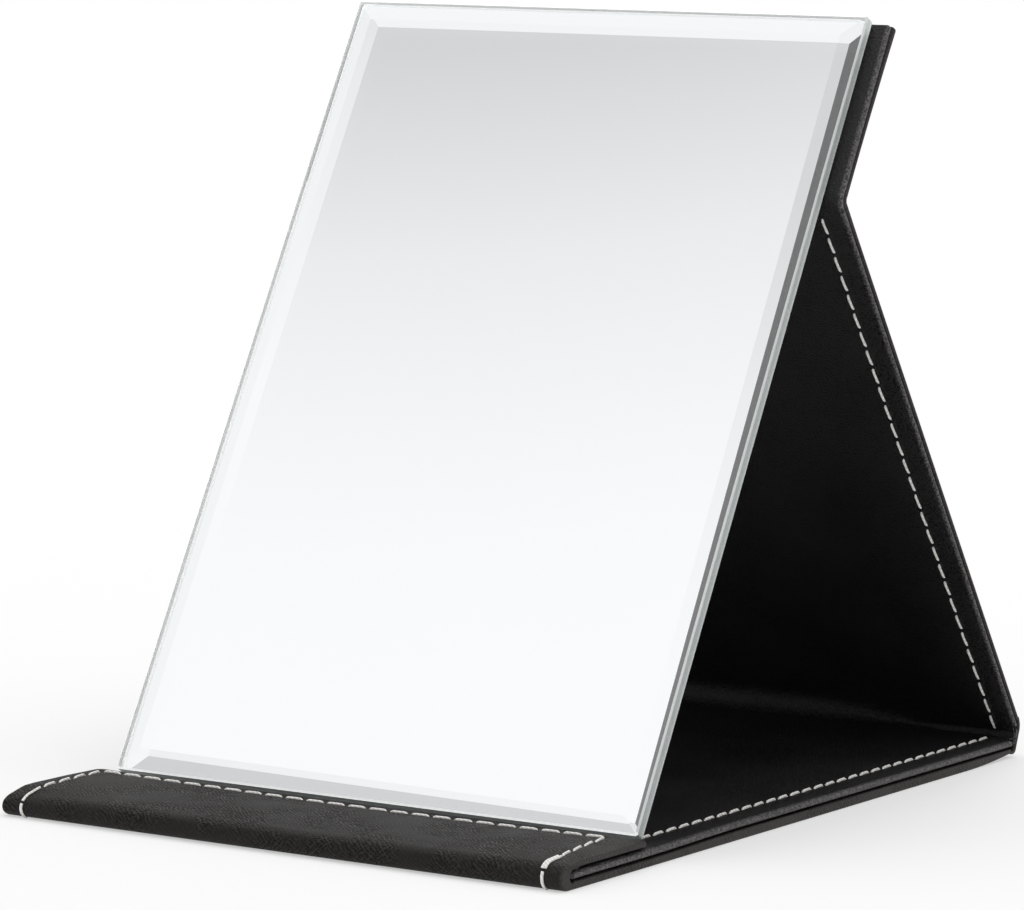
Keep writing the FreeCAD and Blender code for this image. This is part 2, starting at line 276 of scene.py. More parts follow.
def waxed_thread():
    """Cream thread of two twisted plies."""
    f = new_finish("waxed_thread")
    place = f.own_place("thread_place")
    twist = f.between(f.math("SINE", f.dot(place, (5.0, 5.0, 5.0))), -1.0, 1.0)
    fibres = f.noise(place, 3.0)
    shade = f.between(twist + 0.5 * fibres, 0.1, 1.1)
    return f.surface({
        "Base Color": f.mix(shade, (0.72, 0.70, 0.67, 1), (0.95, 0.93, 0.90, 1)),
        "Roughness": 0.62 - 0.12 * fibres,
        "Specular IOR Level": 0.35,
        "Normal": f.bump(twist + 0.3 * fibres, 0.00008, 0.6),
    })


# Glass plate in the mirror's millimetres; its edges are ground in fine streaks
GLASS_HALF_WIDTH = 70.0
GLASS_FOOT = -157.3
GLASS_TOP = 44.2
GLASS_BACK = 3.7
GLASS_THICK = 3.7
SILVER_OVERLAP = 0.05
BEVEL_WIDTH = 5.4
BEVEL_DROP = 0.75
NARROW_CORNER = 1.4
ARRIS = 0.4
UPRIGHT = 0.3
SLANTED = 0.85
GLASS_IOR = 1.52
GRINDING = 1500.0


def polished_glass():
    """Clear polished glass with the faintest haze."""
    f = new_finish("polished_glass")
    place = f.object_place()
    return f.surface({
        "Base Color": f.mix(f.noise(place, 15.0), (0.98, 0.99, 0.985, 1), (0.99, 0.995, 0.99, 1)),
        "Roughness": 0.004 * f.noise(place, 60.0),
        "IOR": GLASS_IOR,
        "Transmission Weight": 1.0,
    })


def above_silver(f, place):
    """Height of a place over the back of the glass, in metres."""
    out = Vector((0, -math.sin(MIRROR_TILT), math.cos(MIRROR_TILT)))
    return f.dot(place, out) - out.dot(MIRROR @ Vector((0, 0, GLASS_BACK)))


def from_foot(f, place):
    """Distance of a place from the foot of the glass, in metres."""
    up = Vector((0, math.cos(MIRROR_TILT), math.sin(MIRROR_TILT)))
    return f.dot(place, up) - up.dot(MIRROR @ Vector((0, GLASS_FOOT, 0)))


def off_right_side(f, place):
    """1 on the glass, and 0 on the ground edge at its right."""
    right = GLASS_HALF_WIDTH * MM
    return f.between(f.dot(place, (1.0, 0.0, 0.0)), right - 1.0 * MM, right - 0.5 * MM, 1.0, 0.0)


def ground_glass():
    """Matt ground edge: green towards the face, with a painted glow for light inside at left and
    top, and painted shade at the foot.
    """
    f = new_finish("ground_glass")
    place = f.object_place()
    streaks = f.noise(place, GRINDING, 3.0)
    height = above_silver(f, place)
    # Painted shade: the base colour goes dark at the foot, where the edge meets the flap, and the
    # painted glow stops there
    off_foot = f.between(from_foot(f, place), 0.1 * MM, 0.6 * MM)
    # Painted glow: emission stands in for light inside the plate, brighter towards the face, faint
    # at the right side and the foot
    lit = f.mix(f.between(height, 1.3 * MM, 1.7 * MM), grey(0.20), grey(0.55))
    green = f.mix(f.between(streaks, 0.3, 0.7), (0.56, 0.63, 0.61, 1), (0.74, 0.81, 0.79, 1))
    body = f.mix(f.between(height, 0.9 * MM, 1.4 * MM), (0.96, 0.98, 0.97, 1), green)
    unlit = (0.04, 0.045, 0.043, 1)
    return f.surface({
        "Base Color": f.mix(off_foot, grey(0.10), body),
        "Roughness": 0.40 + 0.25 * streaks,
        "IOR": GLASS_IOR,
        "Transmission Weight": 0.60,
        "Emission Color": f.mix(off_right_side(f, place) * off_foot, unlit, lit),
        "Emission Strength": 1.0,
        "Normal": f.bump(streaks, 0.00003, 0.4),
    })


def ground_arris():
    """Fine matt arris with a painted glow: light that has run down inside the plate leaves by the
    arris at its foot, fainter elsewhere and faint at the right.
    """
    f = new_finish("ground_arris")
    place = f.object_place()
    streaks = f.noise(place, GRINDING, 3.0)
    # Painted glow: emission stands in for light leaving the arris, brightest at the foot, weaker
    # towards the back, faint at the right side
    at_foot = f.between(from_foot(f, place), 0.5 * MM, 1.0 * MM, 1.0, 0.0)
    lit = f.mix(f.between(above_silver(f, place), 1.0 * MM, 1.2 * MM), grey(0.25), grey(0.55))
    painted_glow_round_plate = f.mix(off_right_side(f, place), grey(0.08), lit)
    return f.surface({
        "Base Color": f.mix(streaks, (0.58, 0.61, 0.60, 1), (0.72, 0.74, 0.73, 1)),
        "Roughness": 0.45 + 0.2 * streaks,
        "IOR": GLASS_IOR,
        "Transmission Weight": 0.3,
        "Emission Color": f.mix(at_foot, painted_glow_round_plate, grey(0.55)),
        "Emission Strength": 1.0,
    })


def silvering():
    """Silver towards the glass, and grey backing paint behind it."""
    f = new_finish("silvering")
    place = f.object_place()
    silver = f.between(above_silver(f, place), -0.12 * MM, -0.08 * MM)
    speckle = f.noise(place, 1400.0, 3.0)
    paint = f.mix(speckle, (0.10, 0.105, 0.11, 1), (0.20, 0.205, 0.21, 1))
    bright = f.mix(f.noise(place, 12.0), (0.955, 0.965, 0.975, 1), (0.965, 0.975, 0.985, 1))
    return f.surface({
        "Base Color": f.mix(silver, paint, bright),
        "Metallic": silver,
        "Roughness": (1.0 - silver) * (0.45 + 0.2 * speckle) + 0.01,
    })


def grey_board():
    """Pressed grey board with fibres and flecks."""
    f = new_finish("grey_board")
    place = f.object_place()
    fibres = f.noise(place, 700.0, 5.0)
    flecks = f.noise(place, 2600.0)
    tone = f.between(fibres + 0.5 * flecks, 0.4, 1.1)
    return f.surface({
        "Base Color": f.mix(tone, (0.20, 0.19, 0.175, 1), (0.36, 0.345, 0.32, 1)),
        "Roughness": 0.8 + 0.15 * fibres,
        "Normal": f.bump(fibres, 0.00006, 0.5),
    })


def foam_tape():
    """White double-sided foam tape."""
    f = new_finish("foam_tape")
    sockets = {"Vector": f.object_place(), "Scale": 2200.0}
    cells = f.node("ShaderNodeTexVoronoi", None, sockets, "Distance")
    return f.surface({
        "Base Color": f.mix(cells, (0.72, 0.71, 0.68, 1), (0.58, 0.57, 0.54, 1)),
        "Roughness": 0.85 - 0.15 * cells,
        "Normal": f.bump(cells, 0.00005, 0.4),
    })


def plated_metal(name, dark, bright):
    """Small plated disc with a tumbled surface."""
    f = new_finish(name)
    marks = f.noise(f.object_place(), 1800.0, 4.0)
    return f.surface({
        "Base Color": f.mix(marks, dark, bright),
        "Metallic": 1.0,
        "Roughness": 0.22 + 0.25 * marks,
        "Normal": f.bump(marks, 0.00002, 0.3),
    })


# Finishes of the new pieces, each with the record's slot that it belongs to
COVER = (cross_grained_leather(), "cover_leather")
LINING = (smooth_lining_leather(), "lining_leather")
THREAD = (waxed_thread(), "cover_leather")


def add_mesh(name, bm):
    mesh = bpy.data.meshes.new(name)
    bm.to_mesh(mesh)
    bm.free()
    return mesh


def add_object(name, data):
    made = bpy.data.objects.new(name, data)
    bpy.context.scene.collection.objects.link(made)
    return made


def in_panel(bm, name, panel, dress, layer_name="hide_place", unroll=None):
    """Makes a mesh object of a bmesh in a panel's millimetres, which stay on it as an attribute."""
    finish, slot = dress
    bmesh.ops.recalc_face_normals(bm, faces=bm.faces)
    if layer_name:
        layer = bm.verts.layers.float_vector.new(layer_name)
        for vert in bm.verts:
            vert[layer] = unroll(vert.co) if unroll else vert.co
    bmesh.ops.transform(bm, matrix=panel, verts=bm.verts)
    mesh = add_mesh(name, bm)
    mesh.polygons.foreach_set("use_smooth", [True] * len(mesh.polygons))
    mesh.set_sharp_from_angle(angle=math.radians(40))
    mesh.materials.append(finish)
    piece = add_object(name, mesh)
    return piece


def only(kind, items):
    """The items of one kind in an operator's result."""
    return [item for item in items if isinstance(item, kind)]


def block(low, high):
    """Plain block between two corners, which other operators then shape."""
    bm = bmesh.new()
    low, high = Vector(low), Vector(high)
    place = Matrix.Translation((low + high) / 2) @ Matrix.Diagonal((*(high - low), 1))
    bmesh.ops.create_cube(bm, size=1, matrix=place)
    return bm


def pull(bm, faces, way):
    """Draws faces out along a vector."""
    pulled = bmesh.ops.extrude_face_region(bm, geom=faces)["geom"]
    bmesh.ops.translate(bm, vec=way, verts=only(BMVert, pulled))


def pull_ring(bm, ring, way):
    """Draws a ring of edges out along a vector into a tube, and gives the ring at its end."""
    pulled = bmesh.ops.extrude_edge_only(bm, edges=only(BMEdge, ring))["geom"]
    bmesh.ops.translate(bm, vec=way, verts=only(BMVert, pulled))
    return only((BMVert, BMEdge), pulled)


def round_off(bm, wanted, radius, steps):
    """Rounds the wanted edges."""
    edges = [edge for edge in bm.edges if wanted(edge)]
    bmesh.ops.bevel(bm, geom=edges, offset=radius, segments=steps, profile=0.5, affect="EDGES",
                    clamp_overlap=True, material=-1)


def lies_at(edge, y):
    """Whether an edge is at one distance along its panel."""
    return all(abs(vert.co.y - y) < SAME for vert in edge.verts)


def cut_across(bm, point, normal, wanted=None):
    """Cuts the wanted faces, or all of them, along a plane, and leaves both sides joined."""
    faces = [face for face in bm.faces if wanted is None or wanted(face.calc_center_median())]
    edges = dict.fromkeys(edge for face in faces for edge in face.edges)
    verts = dict.fromkeys(vert for face in faces for vert in face.verts)
    bmesh.ops.bisect_plane(bm, geom=[*verts, *edges, *faces], dist=SAME, plane_co=point,
                           plane_no=normal)


def cut_lines(lengthwise, crosswise):
    """Cuts a piece along lines of equal x and of equal y, so that it can bend there."""
    def cut(bm):
        for x in lengthwise:
            cut_across(bm, (x, 0, 0), (1, 0, 0))
        for y in crosswise:
            cut_across(bm, (0, y, 0), (0, 1, 0))
    return cut


# Rows of stitches, and the channels into which they draw the leather
SEAM_INSET = 6.0
CHANNEL_LINES = (-1.7, -0.8, 0.0, 0.8, 1.7)
CHANNEL_WIDTH = 0.75
CHANNEL_DEPTH = 0.30
DEPTH_BETWEEN_HOLES = 0.45
ROW_MARGIN = 0.01
STITCH_PITCH = 5.7
STITCH_SLANT = math.radians(4)
STITCH_LIFT = 0.04
THREAD_RADIUS = 0.34


@dataclass
class Seam:
    """Straight row of stitches on a face, from one point (x, y) to another."""

    start: Vector
    stop: Vector
    stitches: int

    @property
    def length(self):
        return (self.stop - self.start).length

    @property
    def way(self):
        return (self.stop - self.start).normalized()

    @property
    def side(self):
        return Vector((-self.way.y, self.way.x))

    def hole(self, number):
        return self.start.lerp(self.stop, number / self.stitches)

    def sink(self, point):
        """How far the leather is drawn down: a channel along the row, deepest at the holes."""
        from_start = Vector((point.x, point.y)) - self.start
        share = from_start.dot(self.way) / self.length
        if not -ROW_MARGIN < share < 1 + ROW_MARGIN:
            return 0.0
        channel = math.exp(-(from_start.dot(self.side) / CHANNEL_WIDTH) ** 2)
        at_hole = math.cos(math.pi * share * self.stitches) ** 2
        pulled = DEPTH_BETWEEN_HOLES + (1 - DEPTH_BETWEEN_HOLES) * at_hole
        return CHANNEL_DEPTH * channel * pulled


def seam(start, stop, stitches):
    return Seam(Vector(start), Vector(stop), stitches)


def side_seams(start, stop, stitches):
    """The rows along both sides of a panel."""
    x = HALF_WIDTH - SEAM_INSET
    return [seam((side * x, start), (side * x, stop), stitches) for side in (-1, 1)]


def cut_for_seam(bm, row, wanted=None, crosswise=True):
    """Cuts the lines along a seam, and the lines across it at each hole and half way between."""
    for offset in CHANNEL_LINES:
        point = row.start + row.side * offset
        cut_across(bm, (*point, 0), (*row.side, 0), wanted)
    if crosswise:
        for half in range(2 * row.stitches + 1):
            cut_across(bm, (*row.hole(half / 2), 0), (*row.way, 0), wanted)


def draw_down(bm, rows, level, inward):
    """Moves the leather on one face down into the channels of its seams."""
    for vert in bm.verts:
        if abs(vert.co.z - level) < NEAR:
            vert.co.z += inward * sum(row.sink(vert.co) for row in rows)


def stitch_mesh():
    """One stitch of thread along y, which turns down into its holes at both ends."""
    bm = bmesh.new()
    half_run = 1.4
    bend = 0.8
    turn = math.radians(68)
    across = {"axis": (1, 0, 0), "steps": 3}
    lift = Matrix.Translation((0, -half_run, 0)) @ Matrix.Rotation(math.pi / 2, 4, "X")
    bmesh.ops.create_circle(bm, segments=6, radius=THREAD_RADIUS, matrix=lift)
    near_ring = [*bm.edges, *bm.verts]
    far_ring = pull_ring(bm, near_ring, (0, 2 * half_run, 0))
    bmesh.ops.spin(bm, geom=far_ring, cent=(0, half_run, -bend), angle=-turn, **across)
    bmesh.ops.spin(bm, geom=near_ring, cent=(0, -half_run, -bend), angle=turn, **across)
    bmesh.ops.holes_fill(bm, edges=[edge for edge in bm.edges if edge.is_boundary])
    return add_mesh("stitch", bm)


STITCH = stitch_mesh()


def sew(bm, row, level, up):
    """Adds the stitches of one seam on a face, each turned a little out of the row."""
    heading = Vector((row.way.x, row.way.y, 0)).to_track_quat("Y", "Z").to_matrix().to_4x4()
    slant = Matrix.Rotation(STITCH_SLANT, 4, "Z")
    fit = Matrix.Diagonal((1, row.length / row.stitches / STITCH_PITCH, up, 1))
    for number in range(row.stitches):
        place = row.hole(number + 0.5)
        middle = Matrix.Translation((*place, level(place) + up * STITCH_LIFT))
        first = len(bm.verts)
        bm.from_mesh(STITCH)
        bm.verts.ensure_lookup_table()
        bmesh.ops.transform(bm, matrix=middle @ heading @ slant @ fit, verts=bm.verts[first:])


def stitch_row(name, panel, rows, level, up, body):
    """All the stitches of one panel's face as one piece."""
    bm = bmesh.new()
    for row in rows:
        sew(bm, row, level, up)
    piece = in_panel(bm, name, panel, THREAD, "thread_place")
    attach(piece, body)


# Sides of the panels, where the layers part and those of the base hang down towards its front
SIDE_BAND = 3.4
SIDE_HANG = 0.5
HANG_END = 80.0
HANG_RUN = 45.0
FOLD_FADE = 9.0


def side_share(x):
    """0 on the face of a panel, rising to 1 at its sides."""
    return smooth_step(1 - (HALF_WIDTH - abs(x)) / SIDE_BAND)


def side_hang(y):
    """How far the layers of the base hang down at the sides of its front."""
    return SIDE_HANG * smooth_step((HANG_END - y) / HANG_RUN)


def hang_sides(bm):
    for vert in bm.verts:
        vert.co.z -= side_hang(vert.co.y) * side_share(vert.co.x)


def thin_sides(low, high, top, foot, fade_to=None):
    """Thins a layer at its sides, so that a dark gap parts it from the next, but not at a fold."""
    def thin(bm):
        for vert in bm.verts:
            near = side_share(vert.co.x)
            if fade_to is not None:
                near *= smooth_step(abs(fade_to - vert.co.y) / FOLD_FADE)
            share = (vert.co.z - low) / (high - low)
            vert.co.z += near * (foot * (1 - share) - top * share)
    return thin


def covered_board(start, stop, low, high, rim, free_start=True, free_stop=True, seams=(),
                  seam_low=False, corner=1.6):
    """One leather-covered board: small corners, turned rims and sewn channels on one face."""
    bm = block((-HALF_WIDTH, start, low), (HALF_WIDTH, stop, high))

    def is_free(edge):
        return (free_start or not lies_at(edge, start)) and (free_stop or not lies_at(edge, stop))

    def upright(edge):
        return abs(edge.verts[0].co.z - edge.verts[1].co.z) > SAME

    round_off(bm, lambda edge: is_free(edge) and upright(edge), corner, 4)
    round_off(bm, lambda edge: is_free(edge) and not upright(edge), rim, 6)
    if seams:
        cut_for_seam(bm, seams[0])
        for row in seams[1:]:
            cut_for_seam(bm, row, crosswise=abs(row.way.x) > 0.5)
        draw_down(bm, seams, low if seam_low else high, 1 if seam_low else -1)
    return bm


# Flap, rolled nose and base cover in one hide; the lining's tongue lies inside the nose
NOSE_RADIUS = FLAP_TOP / 2
NOSE_MIDDLE = Vector((0, NOSE_RADIUS, NOSE_RADIUS))
NOSE_LINES = (-71.5, -64, -58, -52, -46, 0)
NOSE_MARGIN = 0.2
ROLL_INSIDE = 2.0
TONGUE_CENTRE = Vector((5.0, 1.5 * BASE_LAYER))
TONGUE_ROOM = 1.65
TONGUE_TIP = 4.2
COVER_LIP = 0.8
FLAP_LIP = 1.5
FLAP_LIFT = 0.05
FLAP_CORNER = 2.4
OUTER_RIM = 0.6
UPPER_RIM = 0.7
HIDDEN_RIM = 0.3
FLAP_LINES = (4.4, 5.6, 7.0)
FLAP_REAR_ROW = seam((-70.8, 34.0), (64.6, 34.0), 24)
FLAP_LEFT_ROW = seam((-70.7, 33.4), (-68.7, 8.4), 4)
FLAP_RIGHT_ROW = seam((64.6, 33.4), (68.6, 8.4), 4)
FLAP_ROWS = (FLAP_REAR_ROW, FLAP_LEFT_ROW, FLAP_RIGHT_ROW)
UNDER_ROWS = side_seams(4.5, 211.5, 36)

# How the hide settles: the nose is pressed down, the rear curves up, the flap sags, the sides part
NOSE_DROP = 0.5
NOSE_DROP_RUN = 10.0
LEFT_DROPS = ((1.0, 45.0, 24.0), (0.25, 68.0, 6.0))  # depth, start left of the middle, run
REAR_RISE = 1.2
RISE_START = 190.0
RISE_FADE = 2.7
FLAP_SAG = 0.65
REAR_PINCH = 0.38
PINCH_START = 20.0
SIDE_PINCH = 0.28
SIDE_PINCH_WIDTH = 3.0
FLAP_GAP = 0.45
COVER_GAP = 0.2
CHANNEL_SKIN = 0.4


def wrap_outline(bm):
    """Side outline of the hide: flap top, nose, underside, then back round the lining's tongue."""
    x = -HALF_WIDTH
    corners = {}

    def corner(name, y, z):
        corners[name] = bm.verts.new((x, y, z))

    def join(*names):
        for first, second in zip(names, names[1:]):
            bm.edges.new((corners[first], corners[second]))

    def bend(start, name, centre, angle, steps):
        swept = bmesh.ops.spin(bm, geom=[corners[start]], cent=(x, *centre), axis=(1, 0, 0),
                               angle=angle, steps=steps)
        corners[name] = only(BMVert, swept["geom_last"])[0]

    corner("flap_rear", FLAP_END, FLAP_TOP)
    corner("nose_top", NOSE_RADIUS, FLAP_TOP)
    join("flap_rear", "nose_top")
    bend("nose_top", "nose_foot", NOSE_MIDDLE.yz, math.pi, 16)
    corner("cover_rear_foot", BASE_END, 0)
    corner("cover_rear_top", BASE_END, BASE_LAYER)
    corner("cover_front_top", TONGUE_CENTRE.x + COVER_LIP, BASE_LAYER)
    corner("channel_foot", TONGUE_CENTRE.x, TONGUE_CENTRE.y - TONGUE_ROOM)
    join("nose_foot", "cover_rear_foot", "cover_rear_top", "cover_front_top", "channel_foot")
    bend("channel_foot", "channel_top", TONGUE_CENTRE, -math.pi, 10)
    corner("flap_front_foot", TONGUE_CENTRE.x + FLAP_LIP, LINING_TOP + FLAP_LIFT)
    corner("flap_rear_foot", FLAP_END, LINING_TOP + FLAP_LIFT)
    join("channel_top", "flap_front_foot", "flap_rear_foot", "flap_rear")
    return bmesh.ops.contextual_create(bm, geom=bm.edges[:])["faces"]


def nose_height(x, y):
    """Share of its height that the front keeps: it is pressed down, most at its left end."""
    left = sum(drop * smooth_step((-x - start) / run) for drop, start, run in LEFT_DROPS)
    return 1 - (NOSE_DROP + left) * smooth_step(1 - y / NOSE_DROP_RUN) / FLAP_TOP


def press_nose(bm):
    for vert in bm.verts:
        vert.co.z *= nose_height(vert.co.x, vert.co.y)


def rear_rise(y):
    """How far the underside curves up towards the rear fold."""
    rise = REAR_RISE * clamp((y - RISE_START) / (BASE_END - RISE_START)) ** 2
    return rise * clamp((BASE_END + RISE_FADE - y) / RISE_FADE)


def lift_rear(bm):
    for vert in bm.verts:
        vert.co.z += rear_rise(vert.co.y) * max(0, 1 - vert.co.z / BASE_LAYER)


def flap_drop(x, y):
    """How far the flap lies under its full height: it sags, and is thin where it has no board."""
    behind = clamp((y - PINCH_START) / (FLAP_END - PINCH_START))
    sag = FLAP_SAG * (1 - (x / HALF_WIDTH) ** 2)
    side = SIDE_PINCH * math.exp(-((HALF_WIDTH - abs(x)) / SIDE_PINCH_WIDTH) ** 2)
    return sag + REAR_PINCH * smooth_step(behind) + side * (1 - behind)


def flap_level(place):
    return (FLAP_TOP - flap_drop(place.x, place.y)) * nose_height(place.x, place.y)


def pinch_flap(bm):
    for vert in bm.verts:
        share = (vert.co.z - LINING_TOP) / PANEL_LAYER
        if share > 0.1:
            vert.co.z -= share * flap_drop(vert.co.x, vert.co.y)


def part_layers(bm):
    """Opens the dark gaps at the sides: above the cover, round the tongue and under the flap."""
    for vert in bm.verts:
        hang = side_hang(vert.co.y)
        if (vert.co.yz - TONGUE_CENTRE).length < TONGUE_ROOM + CHANNEL_SKIN:
            change = -hang
        elif vert.co.y < TONGUE_CENTRE.x:
            change = 0.0
        elif vert.co.z > LINING_TOP:
            change = (FLAP_GAP - hang) * max(0, 1 - (vert.co.z - LINING_TOP) / PANEL_LAYER)
        else:
            change = -(COVER_GAP + hang) * vert.co.z / BASE_LAYER
        vert.co.z += change * side_share(vert.co.x)


def nose_unrolled(settled):
    """Place on the hide laid flat, so that its grain runs round the nose."""
    place = Vector((settled.x, settled.y, settled.z / nose_height(settled.x, settled.y)))
    if place.y < NOSE_RADIUS and (place.yz - NOSE_MIDDLE.yz).length > ROLL_INSIDE:
        angle = math.atan2(NOSE_RADIUS - place.y, place.z - NOSE_RADIUS)
        return Vector((place.x, NOSE_RADIUS - NOSE_RADIUS * angle, 0))
    if place.z > LINING_TOP:
        return Vector((place.x, place.y, FLAP_TOP - place.z))
    return Vector((place.x, NOSE_RADIUS * (2 - math.pi) - place.y, -place.z))


def on_flap(point):
    return point.z > LINING_TOP + NEAR


def on_flap_or_nose(point):
    return on_flap(point) or point.y < NOSE_RADIUS + NOSE_MARGIN


def under_base(point):
    return point.z < BASE_LAYER + NEAR


def round_wrap(bm):
    """Rounds the flap's rear corners and all the rims of the hide, the hidden ones least."""
    def flap_corner(edge):
        upright = abs(edge.verts[0].co.x - edge.verts[1].co.x) < SAME
        return upright and lies_at(edge, FLAP_END)

    def open_rim(edge):
        return not lies_at(edge, BASE_END) and edge.calc_face_angle(0) > math.radians(55)

    def outside(vert):
        from_middle = (vert.co.yz - NOSE_MIDDLE.yz).length
        on_nose = vert.co.y < NOSE_RADIUS + NEAR and from_middle > NOSE_RADIUS - NEAR
        return on_nose or vert.co.z > FLAP_TOP - NEAR or vert.co.z < NEAR

    def beside_lining(vert):
        return abs(vert.co.z - BASE_LAYER) < NEAR and vert.co.y > NOSE_RADIUS

    round_off(bm, flap_corner, FLAP_CORNER, 6)
    for here, radius in ((outside, OUTER_RIM), (beside_lining, UPPER_RIM)):
        round_off(bm, lambda edge: open_rim(edge) and all(map(here, edge.verts)), radius, 5)
    round_off(bm, open_rim, HIDDEN_RIM, 2)


def cut_wrap(bm):
    """Cuts the lines on which the hide settles and is sewn."""
    for x in NOSE_LINES:
        cut_across(bm, (x, 0, 0), (1, 0, 0), on_flap_or_nose)
    for y in FLAP_LINES:
        cut_across(bm, (0, y, 0), (0, 1, 0), on_flap)
    cut_for_seam(bm, FLAP_REAR_ROW, on_flap)
    for row in (FLAP_LEFT_ROW, FLAP_RIGHT_ROW):
        cut_for_seam(bm, row, on_flap_or_nose, crosswise=False)
    for half in range(2 * FLAP_LEFT_ROW.stitches + 1):
        cut_across(bm, (*FLAP_LEFT_ROW.hole(half / 2), 0), (0, 1, 0), on_flap)
    cut_for_seam(bm, UNDER_ROWS[0], under_base)
    cut_for_seam(bm, UNDER_ROWS[1], under_base, crosswise=False)


def make_wrap():
    bm = bmesh.new()
    pull(bm, wrap_outline(bm), (2 * HALF_WIDTH, 0, 0))
    bmesh.ops.recalc_face_normals(bm, faces=bm.faces)
    round_wrap(bm)
    cut_wrap(bm)
    draw_down(bm, UNDER_ROWS, 0, 1)
    draw_down(bm, FLAP_ROWS, FLAP_TOP, -1)
    for settle in (pinch_flap, part_layers, press_nose, lift_rear):
        settle(bm)
    piece = in_panel(bm, "flap_and_base_hide", BASE, COVER, unroll=nose_unrolled)
    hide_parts("base_cover", "base_cover_board", "flap_roll", "flap_cover", "flap_board",
                "flap_magnet_left", "flap_magnet_right")
    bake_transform(piece)


# Threads over the nose: x and shifts of the upper one, which is sewn twice at the right, and angles
NOSE_THREADS = ((-68.3, (0.0,)), (69.2, (-0.36, 0.36)))
UPPER_LEAD = 3.6
UPPER_STOP = math.radians(52)
LOWER_START = math.radians(66)
LOWER_STOP = math.radians(158)
THREAD_HEIGHT = 0.16


def thread_round_nose(bm, x, lead, start_angle, stop_angle):
    """One thread that lies on the nose, from a straight lead behind its top round to an angle."""
    first = len(bm.verts)
    start = Matrix.Translation((x, *NOSE_MIDDLE.yz)) @ Matrix.Rotation(start_angle, 4, "X")
    at = start @ Matrix.Translation((0, lead, NOSE_RADIUS + THREAD_HEIGHT))
    ring = bmesh.ops.create_circle(bm, segments=7, radius=THREAD_RADIUS,
                                   matrix=at @ Matrix.Rotation(math.pi / 2, 4, "X"))["verts"]
    rim = [*ring, *dict.fromkeys(edge for vert in ring for edge in vert.link_edges)]
    if lead:
        rim = pull_ring(bm, rim, (0, -lead, 0))
    bmesh.ops.spin(bm, geom=rim, cent=NOSE_MIDDLE, axis=(1, 0, 0), angle=stop_angle - start_angle,
                   steps=6)
    bm.verts.ensure_lookup_table()
    edges = dict.fromkeys(edge for vert in bm.verts[first:] for edge in vert.link_edges)
    bmesh.ops.edgeloop_fill(bm, edges=[edge for edge in edges if edge.is_boundary])


def make_nose_stitches():
    """The two threads at each end that run over the nose, the right upper one sewn twice."""
    bm = bmesh.new()
    for x, shifts in NOSE_THREADS:
        for shift in shifts:
            thread_round_nose(bm, x + shift, UPPER_LEAD, 0, UPPER_STOP)
        thread_round_nose(bm, x, 0, LOWER_START, LOWER_STOP)
    press_nose(bm)
    piece = in_panel(bm, "nose_stitches", BASE, THREAD, "thread_place")
    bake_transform(piece)


# Panels of the chain
LEFT_LEAN = 2.2
STRIP_FLARE = 1.2
STRIP_OVERHANG = 0.8
SPINE_COVER_TOP = 1.2
BASE_ROWS = side_seams(8.0, 212.2, 36)
STAND_ROWS = side_seams(-0.6, 162.6, 29)
STAND_OUTER_ROWS = side_seams(3.0, 163.5, 28)
STRIP_ROWS = (*side_seams(2.0, 38.0, 6), seam((-68, 38.0), (68, 38.0), 24))
SPINE_ROWS = side_seams(1.4, 6.8, 1)


def lean_in(lean):
    """Moves the left edge of a panel in by a length that may change along the panel."""
    def move(bm):
        for vert in bm.verts:
            if vert.co.x < 0:
                vert.co.x *= 1 - lean(vert.co.y) / HALF_WIDTH
    return move


def stand_lean(along):
    """How far the left edge of the stand leans in by its top fold."""
    return LEFT_LEAN * (along / STAND_LENGTH) ** 2


def strip_lean(along):
    return LEFT_LEAN


def strip_flare(along):
    """How far the outer leather of the strip stands off towards its top edge."""
    return -STRIP_FLARE * (max(along, 0) / STRIP_END) ** 2


def flare_strip(bm):
    for vert in bm.verts:
        vert.co.z += strip_flare(vert.co.y) * (1 - vert.co.z / PANEL_LAYER)


# Inner corner of the lining between base and stand, in the base's millimetres
CORNER_START = 216.27
CORNER_RADIUS = 0.3
BASE_LINING_END = 213.6
HALF_CORNER = (math.pi - STAND_TILT) / 2
CORNER = Vector((0, CORNER_START + CORNER_RADIUS / math.tan(HALF_CORNER), LINING_TOP))
OUT_OF_CORNER = Vector((0, -math.cos(HALF_CORNER), math.sin(HALF_CORNER)))
UP_CORNER = Vector((0, math.sin(HALF_CORNER), math.cos(HALF_CORNER)))
LOOSE_RADIUS = 4.2
LOOSE_HALF_WIDTH = 64.0
LOOSE_RUN = 45.0
LOOSE_SKIN = 2.5

# Where the corner runs into the stand, in its millimetres, and the lines on which the lining bends
CORNER_STOP = -1.38
STAND_LINING_START = 1.2
BEND_LINES = range(-64, 65, 8)
BASE_BEND_ROWS = [207.5 + 0.5 * step for step in range(12)]
STAND_BEND_ROWS = [1.7 + 0.5 * step for step in range(12)]
WEB_BEND_ROWS = (214.2, 214.8, 215.4, 216.0)
WEB_BEND_HEIGHTS = (5.6, 6.1, 6.7)


def loose_radius(x):
    """Radius of the lining's loose bend: widest in the middle, none beside the seams."""
    return LOOSE_RADIUS * smooth_step((LOOSE_HALF_WIDTH - abs(x)) / LOOSE_RUN)


def bend_height(radius, along):
    """How far a bend of a radius stands out of the inner corner."""
    if abs(along) >= radius * math.cos(HALF_CORNER):
        return abs(along) / math.tan(HALF_CORNER)
    return radius / math.sin(HALF_CORNER) - math.sqrt(radius ** 2 - along ** 2)


